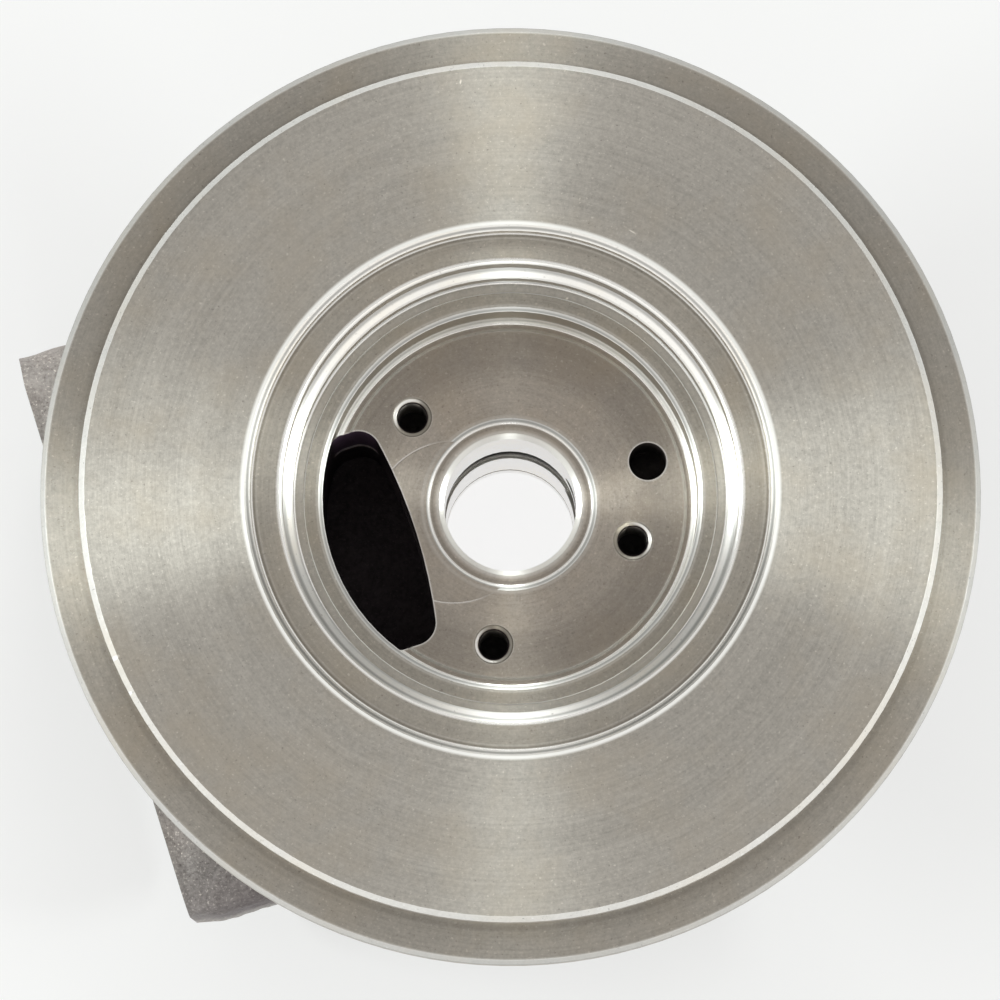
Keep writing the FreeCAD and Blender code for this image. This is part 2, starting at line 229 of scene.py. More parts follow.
drilled = {
    "screwReach": 2.4,
    "screwHeights": (29.0, 43.27),
    "ringAbove": 42.5,
    "feedReach": 2.3,
    "feedHeights": (30.0, 43.25),
    "inletReach": 5.3,
    "inletDepth": (-36.95, -10.0),
    "inletMouth": (-36.95, -36.25),
    "boltReach": 4.2,
    "boltDepth": (31.0, 49.1),
    "boltMouth": (48.4, 49.1),
    "drainFace": 49.1,
    "inletFace": -36.1,
    "inletFaceRadius": 11.2,
}


def within(values, limits):
    return (values > limits[0]) & (values < limits[1])


def faceRegions(centre, normal):
    # slot number for each triangle, from where it lies (millimetres) and the way it faces
    x, y, z = centre[:, 0], centre[:, 1], centre[:, 2]
    r = np.hypot(x, y)
    along = centre @ drainWay
    across = centre @ acrossWay
    rise = np.abs(normal[:, 2])
    outward = (normal[:, 0] * x + normal[:, 1] * y) / np.maximum(r, 0.001)
    region = np.full(len(centre), slotNames.index("skin"))

    def paint(name, mask):
        region[mask] = slotNames.index(name)

    for name, heights, radii, levelOnly in ringRegions:
        paint(name, within(z, heights) & within(r, radii) & ((rise > 0.985) | (not levelOnly)))
    inletRadius = np.hypot(across, z - inlet["height"])
    paint("milled", (along > drilled["drainFace"]) & ((normal @ drainWay) > 0.9))
    paint("milled", (along < drilled["inletFace"]) & (inletRadius < drilled["inletFaceRadius"]))
    # rings that face neither up nor sideways are the chamfers
    oblique = within(rise, chamfers["rise"])
    turned = np.isin(region, [slotNames.index(n) for n in ("rim", "seat", "ledge", "bore", "turbine")])
    paint("edge", oblique & turned & (r > chamfers["edgeFrom"]) & ~within(z, chamfers["clampSlope"]))
    lead = (z > chamfers["leadHeight"]) & (r < chamfers["leadRadius"])
    sunk = (r < recess["reach"]) & (z > recess["under"])
    low, high = chamfers["plainFloor"]
    paint("lip", oblique & (sunk | lead) & ((r < low) | (r > high)))
    # the drain window and all that lies behind it
    inside = (r < window["radius"]) & within(z, window["heights"]) & (along > window["from"])
    below = (z < window["wallTop"]) | ((z < recess["floorHeight"]) & (outward > window["facing"]))
    walls = ((rise < 0.02) & below) | (z < window["roof"])
    paint("cavity", inside & walls & (r > window["boreWall"]))
    fromPort = np.hypot(across, z - drain["height"])
    paint("cavity", within(along, window["port"]) & (fromPort < window["portRadius"]))
    # drilled holes: screw holes, feed hole, galleries and taps
    screwLow, screwHigh = drilled["screwHeights"]
    for px, py in screwPlaces():
        near = (np.hypot(x - px, y - py) < drilled["screwReach"]) & (z > screwLow)
        paint("drilled", near & (z < screwHigh))
        paint("ringed", near & oblique & (z > drilled["ringAbove"]))
    feed = -recess["feedDistance"] * drainWay
    nearFeed = np.hypot(x - feed[0], y - feed[1]) < drilled["feedReach"]
    paint("drilled", nearFeed & within(z, drilled["feedHeights"]))
    nearInlet = inletRadius < drilled["inletReach"]
    paint("drilled", nearInlet & within(along, drilled["inletDepth"]))
    for side in (-1, 1):
        fromBolt = np.hypot(across - side * drain["boltSpacing"] / 2.0, z - drain["height"])
        near = fromBolt < drilled["boltReach"]
        paint("drilled", near & within(along, drilled["boltDepth"]))
        paint("sink", near & within(along, drilled["boltMouth"]))
    paint("sink", nearInlet & within(along, drilled["inletMouth"]))
    return region


def screwPlaces():
    # x and y of the three thrust screw holes
    return [(r * math.cos(math.radians(a)), r * math.sin(math.radians(a))) for r, a in recess["screws"]]


def cornerPairs(corners):
    # the three sides of each triangle in turn, as pairs of points, the lower number first
    return np.sort(np.stack([corners, np.roll(corners, -1, axis=1)], axis=2).reshape(-1, 2), axis=1)


def sidesOf(corners):
    # the mesh's sides as pairs of points, and the numbers of each triangle's three sides
    unique, back = np.unique(cornerPairs(corners), axis=0, return_inverse=True)
    return unique, back.reshape(-1, 3)


def splitSides(places, corners, limits, back, chosen, points):
    # puts a point on each chosen side and cuts the triangles beside it to match
    middle = np.full(len(chosen), -1)
    middle[chosen] = len(places) + np.arange(int(chosen.sum()))
    split = chosen[back]
    count = split.sum(axis=1)
    pieces, keep = [corners[count == 0]], [limits[count == 0]]
    for turnBy in range(3):
        c = np.roll(corners, -turnBy, axis=1)
        m = np.roll(middle[back], -turnBy, axis=1)
        f = np.roll(split, -turnBy, axis=1)
        one = (count == 1) & f[:, 0]
        pieces += [
            np.stack([c[one, 0], m[one, 0], c[one, 2]], 1),
            np.stack([m[one, 0], c[one, 1], c[one, 2]], 1),
        ]
        two = (count == 2) & f[:, 0] & f[:, 1]
        pieces += [
            np.stack([c[two, 1], m[two, 1], m[two, 0]], 1),
            np.stack([c[two, 0], m[two, 0], m[two, 1]], 1),
            np.stack([c[two, 0], m[two, 1], c[two, 2]], 1),
        ]
        keep += [limits[one]] * 2 + [limits[two]] * 3
    three = count == 3
    c, m = corners[three], middle[back][three]
    pieces += [np.stack([c[:, k], m[:, k], m[:, k - 1]], 1) for k in range(3)] + [m]
    keep += [limits[three]] * 4
    return np.concatenate([places, points]), np.concatenate(pieces), np.concatenate(keep)


def refine(places, corners, limits):
    # every side longer than its triangle's limit is halved, until none is left
    mostRounds = 8
    for turn in range(mostRounds):
        sides, back = sidesOf(corners)
        length = np.linalg.norm(places[sides[:, 0]] - places[sides[:, 1]], axis=1)
        chosen = np.zeros(len(sides), bool)
        chosen[back[length[back] > limits[:, None]]] = True
        if not chosen.any():
            break
        points = places[sides[chosen]].mean(axis=1)
        places, corners, limits = splitSides(places, corners, limits, back, chosen, points)
    return places, corners


def cutAtHeight(places, corners, height, beside):
    # sides that pass this height get a point there, so that a finish can end on it
    sides, back = sidesOf(corners)
    rise = (places[:, 2] - height)[sides]
    chosen = (rise[:, 0] * rise[:, 1] < -1e-6) & beside[sides].all(axis=1)
    ends = places[sides[chosen]]
    share = (rise[chosen, 0] / (rise[chosen, 0] - rise[chosen, 1]))[:, None]
    points = ends[:, 0] + (ends[:, 1] - ends[:, 0]) * share
    return splitSides(places, corners, np.zeros(len(corners)), back, chosen, points)[:2]


def triangleFrames(places, corners):
    # centre, unit normal and area of each triangle
    a, b, c = places[corners[:, 0]], places[corners[:, 1]], places[corners[:, 2]]
    normal = np.cross(b - a, c - a)
    size = np.linalg.norm(normal, axis=1)
    return (a + b + c) / 3.0, normal / np.maximum(size, 1e-12)[:, None], size / 2.0


def readCasting():
    # the CAD casting's triangles in millimetres, with equal points merged
    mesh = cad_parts["bearing_housing"].data
    places = np.empty(len(mesh.vertices) * 3, np.float32)
    mesh.vertices.foreach_get("co", places)
    corners = np.empty(len(mesh.polygons) * 3, np.int32)
    mesh.polygons.foreach_get("vertices", corners)
    places = np.round(places.reshape(-1, 3).astype(float) / mm, 4)
    places, back = np.unique(places, axis=0, return_inverse=True)
    corners = back.reshape(-1)[corners].reshape(-1, 3)
    keep = (corners != np.roll(corners, -1, axis=1)).all(axis=1)
    return places, corners[keep]


def roughened(places, corners, isSkin):
    # skin = place - normal * depth, depth from three noises, zero at machined edges
    normal, area = triangleFrames(places, corners)[1:]
    vertexNormal = np.zeros_like(places)
    for k in range(3):
        for axis in range(3):
            vertexNormal[:, axis] += np.bincount(corners[:, k], normal[:, axis] * area, len(places))
    vertexNormal /= np.maximum(np.linalg.norm(vertexNormal, axis=1), 1e-9)[:, None]
    touchesSkin = np.zeros(len(places), bool)
    touchesOther = np.zeros(len(places), bool)
    touchesSkin[corners[isSkin].ravel()] = True
    touchesOther[corners[~isSkin].ravel()] = True
    free = touchesSkin & ~touchesOther
    reach = nearestDistance(places[free], places[touchesSkin & touchesOther])
    fade = np.clip(reach / casting["fadeWidth"], 0.0, 1.0)
    fade = fade * fade * (3.0 - 2.0 * fade)
    at = places[free]
    earNearness = np.clip((at @ drainWay - casting["earsPast"][0]) / 6.0, 0.0, 1.0)
    lumpDepth = casting["lumpDepth"] * (1.0 - casting["earCalm"] * earNearness)
    lump = latticeNoise(at, casting["lumpSize"], 3) * lumpDepth
    grain = latticeNoise(at, casting["grainSize"], 5) * casting["grainDepth"]
    pitFrom = 0.45           # only the noise above this makes pits
    pitShare = np.clip(latticeNoise(at, casting["pitSize"], 9) - pitFrom, 0.0, 1.0) / (1.0 - pitFrom)
    depth = lumpDepth + casting["grainDepth"] * 0.5 + lump + grain + pitShare * casting["pitDepth"]
    places = places.copy()
    places[free] -= vertexNormal[free] * (depth * fade)[:, None]
    return places


def longerEars(places):
    # place = place +- (0, growth, 0), growing with the distance from the flange's middle, and
    # nearly none at the lower ear's corner on the drain face, which is rounder than the other
    across = places @ acrossWay
    along = places @ drainWay
    length = casting["earFull"] - casting["earFrom"]
    share = np.clip((np.abs(across) - casting["earFrom"]) / length, 0.0, 1.0)
    onEar = (along > casting["earBehind"]) & (places[:, 2] < casting["earTop"])
    share = np.where(onEar, share, 0.0)
    fromFace = np.clip((drain["faceDistance"] - along) / casting["cornerFade"], 0.0, 1.0)
    upper, lower = casting["earGrowth"]
    places = places.copy()
    places[:, 1] += np.where(across < 0.0, share * upper, -share * lower * fromFace)
    return places


def nearestDistance(points, targets):
    # distance to the nearest target, found in blocks so that the table stays small
    best = np.full(len(points), far)
    block = 300
    for start in range(0, len(targets), block):
        group = targets[start:start + block]
        square = (points ** 2).sum(1)[:, None] + (group ** 2).sum(1)[None, :] - 2.0 * points @ group.T
        best = np.minimum(best, square.min(1))
    return np.sqrt(np.maximum(best, 0.0))


def newObject(name, data):
    made = bpy.data.objects.new(name, data)
    bpy.context.scene.collection.objects.link(made)
    return made


def meshFromArrays(name, places, corners, slots, materialList):
    # one object at the origin from millimetre arrays, with a material slot for each triangle
    mesh = bpy.data.meshes.new(name)
    mesh.vertices.add(len(places))
    mesh.vertices.foreach_set("co", (places * mm).astype(np.float32).ravel())
    mesh.loops.add(corners.size)
    mesh.loops.foreach_set("vertex_index", corners.astype(np.int32).ravel())
    mesh.polygons.add(len(corners))
    mesh.polygons.foreach_set("loop_start", np.arange(0, corners.size, corners.shape[1], dtype=np.int32))
    mesh.polygons.foreach_set("use_smooth", np.ones(len(corners), bool))
    for material in materialList:
        mesh.materials.append(material)
    mesh.polygons.foreach_set("material_index", slots.astype(np.int32))
    mesh.update(calc_edges=True)
    mesh.validate()
    return newObject(name, mesh)


def markSharp(mesh, places, corners, slots):
    # an edge is sharp where its two triangles differ by more than the angle for their finish
    normal = triangleFrames(places, corners)[1]
    sides = cornerPairs(corners)
    owner = np.repeat(np.arange(len(corners)), 3)
    key = sides[:, 0].astype(np.int64) * len(places) + sides[:, 1]
    order = np.argsort(key, kind="stable")
    key, owner = key[order], owner[order]
    first = np.flatnonzero(np.diff(np.concatenate([[-1], key])))
    second = np.minimum(first + 1, len(key) - 1)
    paired = key[second] == key[first]
    turn = (normal[owner[first]] * normal[owner[second]]).sum(1)
    skin = slotNames.index("skin")
    both = (slots[owner[first]] == skin) & (slots[owner[second]] == skin)
    angle = np.where(both, casting["castSharpAngle"], casting["sharpAngle"])
    least = np.cos(np.radians(angle))
    sharpKeys = key[first][(turn < least) | ~paired]
    ends = np.empty(len(mesh.edges) * 2, np.int32)
    mesh.edges.foreach_get("vertices", ends)
    ends = np.sort(ends.reshape(-1, 2), axis=1).astype(np.int64)
    isSharp = np.isin(ends[:, 0] * len(places) + ends[:, 1], sharpKeys)
    mark = mesh.attributes.get("sharp_edge") or mesh.attributes.new("sharp_edge", "BOOLEAN", "EDGE")
    mark.data.foreach_set("value", isSharp)


def makeHousing(materials):
    # the CAD casting, with a sand cast skin where it isn't machined
    places, corners = readCasting()
    inRecess = np.hypot(places[:, 0], places[:, 1]) < recess["cutRadius"]
    places, corners = cutAtHeight(places, corners, recess["floorHeight"], inRecess)
    centre, normal = triangleFrames(places, corners)[:2]
    slots = faceRegions(centre, normal)
    skin = slotNames.index("skin")
    along, across = casting["earsPast"]
    ear = (centre @ drainWay > along) & (np.abs(centre @ acrossWay) > across)
    limits = np.where(slots == skin, np.where(ear, casting["earEdge"], casting["castEdge"]), far)
    places, corners = refine(places, corners, limits)
    slots = faceRegions(*triangleFrames(places, corners)[:2])
    places = longerEars(roughened(places, corners, slots == skin))
    places, corners, added = cutThreads(places, corners)
    kept = faceRegions(*triangleFrames(places, corners[:len(corners) - added])[:2])
    slots = np.concatenate([kept, np.full(added, slotNames.index("thread"))])
    housing = meshFromArrays("housing_casting", places, corners, slots, [materials[n] for n in slotNames])
    markSharp(housing.data, places, corners, slots)
    weighted = housing.modifiers.new("normals", "WEIGHTED_NORMAL")
    weighted.keep_sharp = True
    weighted.weight = 50
    print("casting:", len(corners), "triangles")
    return housing


plainTurning = {
    # what a turned finish has unless its own values below say otherwise
    "rough": 0.36, "aniso": 0.95, "ring": 0.25, "bump": 0.12, "vary": 0.26, "metal": 1.0, "shadeAndDirtTone": 0.40,
}
finishes = {
    # colour, roughness, anisotropy, size of the ring pattern, its bump and how much it varies.
    # shine rings (radius, half width, amount) are painted highlight where a tool has also burnished the
    # iron, and the darkened rings are painted shade with some dirt; feet are rings of painted highlight
    # low on a wall (radius, low, high, amount), and the edge width is where outer edges are worn bright
    # and carry a painted highlight, inside the radius given with it less so. With tilt the shining rings
    # lean to the axis like a small rounding, outer is a ring that leans away from it and carries painted
    # highlight too, up leans lips upwards (thrust bore and deeper, then above), and polish makes the
    # shining rings smoother. metal and deepMetal are how metallic the surface is.
    "face": {
        "colour": (0.50, 0.475, 0.43), "rough": 0.33, "aniso": 0.97, "ring": 0.30,
        "shine": [(29.86, 0.42, 0.95)],
    },
    "rim": {
        "colour": (0.45, 0.423, 0.38),
        "shine": [(52.3, 0.25, 0.4)], "shadeAndDirt": [(48.75, 0.5, 0.22)],
    },
    "seat": {
        "colour": (0.44, 0.41, 0.36), "rough": 0.34, "ring": 0.22,
        "shine": [(28.96, 0.13, 1.0), (28.45, 0.16, 0.12), (25.98, 0.30, 0.95)],
        "shadeAndDirt": [(28.72, 0.16, 0.35)],
        "feet": [(24.5, 51.0, 53.6, 1.0), (21.25, 44.0, 45.0, 0.5)], "tilt": 0.25, "polish": 0.45,
    },
    "ledge": {
        "colour": (0.44, 0.41, 0.36), "ring": 0.22, "vary": 0.28,
        "shine": [(24.42, 0.14, 1.0), (23.8, 0.6, 0.12), (21.9, 0.18, 0.2)], "tilt": 0.4, "polish": 0.40,
    },
    "floor": {
        "colour": (0.44, 0.395, 0.345), "aniso": 0.93, "vary": 0.28,
        "shine": [(20.70, 0.12, 0.95), (10.05, 0.30, 0.12), (9.32, 0.17, 0.95), (8.2, 0.45, 0.30)],
        "outer": (20.0, 0.2, 0.45),
        "shadeAndDirt": [(20.35, 0.14, 0.3), (8.95, 0.25, 0.35), (17.5, 3.6, 0.30)],
        "wearSheen": 0.24, "wearSheenMost": 0.6, "wearSheenFrom": 12.0, "tilt": 0.45, "polish": 0.35,
    },
    # the lips are pale and less metallic so that the chamfers shine under any light: painted highlight,
    # partly worn bright metal
    "lip": {
        "colour": (0.95, 0.94, 0.91), "rough": 0.30, "aniso": 0.6, "ring": 0.20, "bump": 0.05, "vary": 0.05,
        "metal": 0.80, "deepMetal": 0.55, "up": (0.8, 0.35),
        "shine": [(20.80, 0.12, 0.8), (21.24, 0.12, 0.6), (7.75, 0.35, 0.9)],
        "shadeAndDirt": [
            (29.40, 0.20, 0.85), (25.46, 0.34, 0.80), (24.5, 0.26, 0.45), (21.42, 0.26, 0.9),
            (21.65, 0.2, 0.5), (21.02, 0.12, 0.35), (9.62, 0.24, 0.95), (9.88, 0.16, 0.7),
            (8.22, 0.22, 0.30),
        ],
    },
    # the edges are pale and less metallic so that the chamfers shine under any light: painted highlight,
    # partly worn bright metal
    "edge": {
        "colour": (0.78, 0.77, 0.74), "rough": 0.30, "aniso": 0.6, "ring": 0.20, "bump": 0.05, "vary": 0.10,
        "metal": 0.55, "shadeAndDirt": [(52.78, 0.16, 0.7), (52.45, 0.6, 0.4)], "wearSheen": 0.25, "wearSheenMost": 0.7,
    },
    "bore": {
        "colour": (0.93, 0.92, 0.90), "rough": 0.20, "aniso": 0.6, "ring": 0.18, "bump": 0.08, "vary": 0.05,
        "metal": 0.9, "shadeAndDirt": [(8.32, 0.50, 1.0)], "shadeAndDirtTone": 0.10,
    },
    "turbine": {"colour": (0.41, 0.385, 0.345), "wearSheen": 0.30, "wearSheenMost": 0.9},
}


class nodeBench:
    # short calls for building a node tree from left to right
    def __init__(self, owner):
        owner.use_nodes = True
        self.tree = owner.node_tree
        self.tree.nodes.clear()

    def add(self, kind, **values):
        node = self.tree.nodes.new(kind)
        for key, value in values.items():
            if hasattr(node, key):
                setattr(node, key, value)
            else:
                node.inputs[key].default_value = value
        return node

    def link(self, source, target):
        self.tree.links.new(source, target)

    def put(self, value, socket):
        # a number, vector or colour is set on the socket, an output is linked to it
        if isinstance(value, (tuple, list)) and socket.type == "RGBA":
            socket.default_value = (*value[:3], 1.0)
        elif isinstance(value, (int, float, tuple, list)):
            socket.default_value = value
        elif value is not None:
            self.link(value, socket)

    def math(self, operation, first, second=None, third=None):
        node = self.add("ShaderNodeMath", operation=operation)
        for index, value in enumerate((first, second, third)):
            self.put(value, node.inputs[index])
        return node.outputs[0]

    def times(self, first, second):
        return self.math("MULTIPLY", first, second)

    def apart(self, first, second):
        # how far two numbers are from each other
        return self.math("ABSOLUTE", self.math("SUBTRACT", first, second))

    def read(self, kind):
        # Object, Normal or Generated coordinates
        return self.add("ShaderNodeTexCoord").outputs[kind]

    def leaning(self, way):
        # the surface's own direction, leaning this way
        return self.vector("ADD", self.add("ShaderNodeNewGeometry").outputs["Normal"], way)

    def vector(self, operation, first, second=None, scale=None):
        node = self.add("ShaderNodeVectorMath", operation=operation)
        for index, value in enumerate((first, second)):
            self.put(value, node.inputs[index])
        if scale is not None:
            self.link(scale, node.inputs["Scale"])
        return node.outputs["Value"] if operation in ("LENGTH", "DOT_PRODUCT") else node.outputs[0]

    def split(self, vector):
        node = self.add("ShaderNodeSeparateXYZ")
        self.link(vector, node.inputs[0])
        return node.outputs[0], node.outputs[1], node.outputs[2]

    def combine(self, x, y, z):
        node = self.add("ShaderNodeCombineXYZ")
        for index, value in enumerate((x, y, z)):
            self.put(value, node.inputs[index])
        return node.outputs[0]

    def noise(self, vector, scale, detail=2.0, roughness=0.5, w=None):
        node = self.add("ShaderNodeTexNoise", Scale=scale, Detail=detail, Roughness=roughness)
        node.noise_dimensions = "4D" if w is not None else "3D"
        self.link(vector, node.inputs["Vector"])
        if w is not None:
            self.link(w, node.inputs["W"])
        return node.outputs["Fac"]

    def ramp(self, value, low, high, lowOut=0.0, highOut=1.0):
        node = self.add("ShaderNodeMapRange", clamp=True)
        self.link(value, node.inputs["Value"])
        for socket, number in zip(("From Min", "From Max", "To Min", "To Max"), (low, high, lowOut, highOut)):
            node.inputs[socket].default_value = number
        return node.outputs["Result"]

    def mix(self, amount, first, second):
        node = self.add("ShaderNodeMix", data_type="RGBA")
        for index, value in ((0, amount), (6, first), (7, second)):
            self.put(value, node.inputs[index])
        return node.outputs[2]

    def seenRays(self):
        # 1 for a ray from the camera, off metal or through glass
        path = self.add("ShaderNodeLightPath")
        first = self.math("MAXIMUM", path.outputs["Is Camera Ray"], path.outputs["Is Glossy Ray"])
        return self.math("MAXIMUM", first, path.outputs["Is Transmission Ray"])

    def nearEdge(self, distance):
        # 0 on open surface, towards 1 beside an outer edge
        node = self.add("ShaderNodeAmbientOcclusion", samples=6, inside=True, only_local=True)
        node.inputs["Distance"].default_value = distance
        return self.math("SUBTRACT", 1.0, node.outputs["AO"])

    def bump(self, height, strength, distance, normal=None):
        node = self.add("ShaderNodeBump", Strength=strength, Distance=distance)
        self.link(height, node.inputs["Height"])
        self.put(normal, node.inputs["Normal"])
        return node.outputs[0]


def ringCoordinates(bench):
    # place, height, radius and the unit vector from the axis, all from Object coordinates
    place = bench.read("Object")
    x, y, height = bench.split(place)
    flat = bench.combine(x, y, 0.0)
    return place, height, bench.vector("LENGTH", flat), bench.vector("NORMALIZE", flat)


def shaded(name):
    # a material with one plain shader, ready for its sockets to be linked
    material = bpy.data.materials.new(name)
    bench = nodeBench(material)
    output = bench.add("ShaderNodeOutputMaterial")
    shader = bench.add("ShaderNodeBsdfPrincipled")
    bench.link(shader.outputs[0], output.inputs[0])
    return material, bench, shader


nicks = {
    # x, y, half length, half width, turn
    "turned_face": [
        (13.6, 28.9, 0.55, 0.10, 150.0),
        (-5.6, 45.8, 0.35, 0.12, 80.0),
        (-43.9, -18.7, 0.5, 0.28, 20.0),
    ],
    "turned_edge": [(-44.05, -18.85, 0.55, 0.32, 23.0), (-42.4, -22.75, 0.40, 0.28, 28.0)],
    "turned_ledge": [(6.4, 22.67, 0.22, 0.16, 30.0)],
}


def strongest(bench, amounts):
    # the greatest of several amounts
    total = amounts[0]
    for amount in amounts[1:]:
        total = bench.math("MAXIMUM", total, amount)
    return total


def ringBands(bench, radius, bands):
    # the strongest of some soft rings, each (radius, half width, amount) in millimetres
    return strongest(bench, [
        bench.ramp(bench.apart(radius, middle * mm), half * mm * 0.3, half * mm, amount, 0.0)
        for middle, half, amount in bands
    ])


def footBands(bench, radius, height, feet):
    # the strongest of some rings of painted highlight low on walls
    rings = []
    for middle, low, high, amount in feet:
        onWall = bench.math("LESS_THAN", bench.apart(radius, middle * mm), 0.1 * mm)
        rising = bench.ramp(height, (low + high) / 2.0 * mm, high * mm, amount, 0.0)
        rings.append(bench.times(onWall, rising))
    return strongest(bench, rings)


def markSpots(bench, place, spots):
    # small nicks (x, y, half length, half width, turn) in millimetres and degrees
    marks = []
    for x, y, half, width, turn in spots:
        c, n = math.cos(math.radians(turn)), math.sin(math.radians(turn))
        offset = bench.vector("SUBTRACT", place, (x * mm, y * mm, 0.0))
        along = bench.vector("DOT_PRODUCT", offset, (c / (half * mm), n / (half * mm), 0.0))
        across = bench.vector("DOT_PRODUCT", offset, (-n / (width * mm), c / (width * mm), 0.0))
        size = bench.vector("LENGTH", bench.combine(along, across, 0.0))
        marks.append(bench.ramp(size, 0.5, 1.0, 1.0, 0.0))
    return strongest(bench, marks)


def scaled(colour, factors):
    return tuple(min(1.0, c * f) for c, f in zip(colour, factors))


def tinted(bench, colour, base, tints):
    # lays tints over a colour, each an amount and its share of the base colour
    for amount, factors in tints:
        colour = bench.mix(amount, colour, scaled(base, factors))
    return colour


turning = {
    # what share of the tone of turned iron each noise has
    "rings": 0.20,
    "broad": 0.12,
    "dashes": 0.26,
    "mottle": 0.20,
    "grain": 0.22,
    "broadSize": 9.0,            # broad rings are this much wider than fine ones
    "thrustBore": (23.0, 23.2),  # radii between which lips change from the deep ones to the rest
    "mouth": (25.9, 26.2),       # and from those to the mouth's, which don't lean
    "wearAndSheen": (0.97, 0.96, 0.93),  # colour where burnished, and of the painted highlight on shining rings and edges
}


def turnedPattern(bench, look, place, height, radius, away):
    # fine rings, and the tone: rings, broader rings, dashes along them, mottle and grain
    depthWise = bench.math("ADD", radius, height)
    ringScale = 1.0 / (look["ring"] * mm)
    fine = bench.times(depthWise, ringScale)
    wide = bench.times(depthWise, ringScale / turning["broadSize"])
    rings = bench.noise(away, 0.9, 3.0, 0.65, fine)
    broad = bench.noise(away, 0.6, 2.0, 0.5, wide)
    dashes = bench.noise(away, 20.0, 2.0, 0.6, fine)
    mottle = bench.noise(place, 1100.0, 3.0, 0.7)
    grain = bench.noise(place, 3000.0, 2.0, 0.7)
    tone = bench.times(broad, turning["broad"])
    tone = bench.math("ADD", bench.times(rings, turning["rings"]), tone)
    for part, share in ((dashes, "dashes"), (mottle, "mottle"), (grain, "grain")):
        tone = bench.math("MULTIPLY_ADD", part, turning[share], tone)
    return rings, tone


def turnedTint(bench, name, look, place, radius, tone):
    # the tone as colour, with warm blotches, pale and dark specks, rings of painted shade and nicks
    base, spread = look["colour"], look["vary"]
    dark, pale = scaled(base, (1.0 - spread,) * 3), scaled(base, (1.0 + spread,) * 3)
    blotch = bench.noise(place, 90.0, 4.0, 0.6)
    specks = bench.noise(place, 2900.0, 1.0, 0.5)
    tints = [
        (bench.ramp(blotch, 0.45, 0.75, 0.0, 0.55), (1.06, 0.98, 0.86)),
        (bench.ramp(specks, 0.66, 0.80, 0.0, 0.6), (1.6, 1.6, 1.6)),
        (bench.ramp(specks, 0.32, 0.20, 0.0, 0.6), (0.5, 0.48, 0.48)),
    ]
    # the darkened rings in the colour: painted shade, with some dirt
    if "shadeAndDirt" in look:
        tints.append((ringBands(bench, radius, look["shadeAndDirt"]), (look["shadeAndDirtTone"],) * 3))
    if name in nicks:
        tints.append((markSpots(bench, place, nicks[name]), (1.75, 1.75, 1.75)))
    return tinted(bench, bench.mix(bench.ramp(tone, 0.37, 0.63), dark, pale), base, tints)


def leaningRings(bench, look, radius, height, away, shine):
    # these rings are small fillets, so the surface leans to the axis there, or up from a wall
    lean = bench.vector("SCALE", away, None, bench.times(shine, -look["tilt"]))
    facing = bench.leaning(lean)
    feet = None
    if "feet" in look:
        feet = footBands(bench, radius, height, look["feet"])
        upright = bench.combine(0.0, 0.0, bench.times(feet, 2.0))
        facing = bench.vector("ADD", facing, upright)
        # the rings low on walls also take the pale colour of the shining rings, a painted highlight
        shine = bench.math("MAXIMUM", shine, feet)
    if "outer" in look:
        outer = ringBands(bench, radius, [look["outer"]])
        facing = bench.vector("ADD", facing, bench.vector("SCALE", away, None, outer))
        # the outer ring takes the same pale colour, a painted highlight
        shine = bench.math("MAXIMUM", shine, outer)
    return bench.vector("NORMALIZE", facing), shine, feet


def risingLips(bench, look, radius):
    # lips lean upwards, the deep ones most and the mouth's not at all
    nearBore, nearMouth = turning["thrustBore"], turning["mouth"]
    amount = bench.ramp(radius, nearBore[0] * mm, nearBore[1] * mm, *look["up"])
    fade = bench.ramp(radius, nearMouth[0] * mm, nearMouth[1] * mm, 1.0, 0.0)
    upright = bench.combine(0.0, 0.0, bench.times(amount, fade))
    return bench.vector("NORMALIZE", bench.leaning(upright))


def wearAndSheenEdges(bench, look, radius):
    # outer edges worn bright and given a painted highlight, less so inside the given radius
    wearAndSheen = bench.ramp(bench.nearEdge(look["wearSheen"] * mm), 0.06, 0.36, 0.0, look["wearSheenMost"])
    if "wearSheenFrom" in look:
        start = look["wearSheenFrom"]
        wearAndSheen = bench.times(wearAndSheen, bench.ramp(radius, 0.9 * start * mm, start * mm, 0.25, 1.0))
    return wearAndSheen


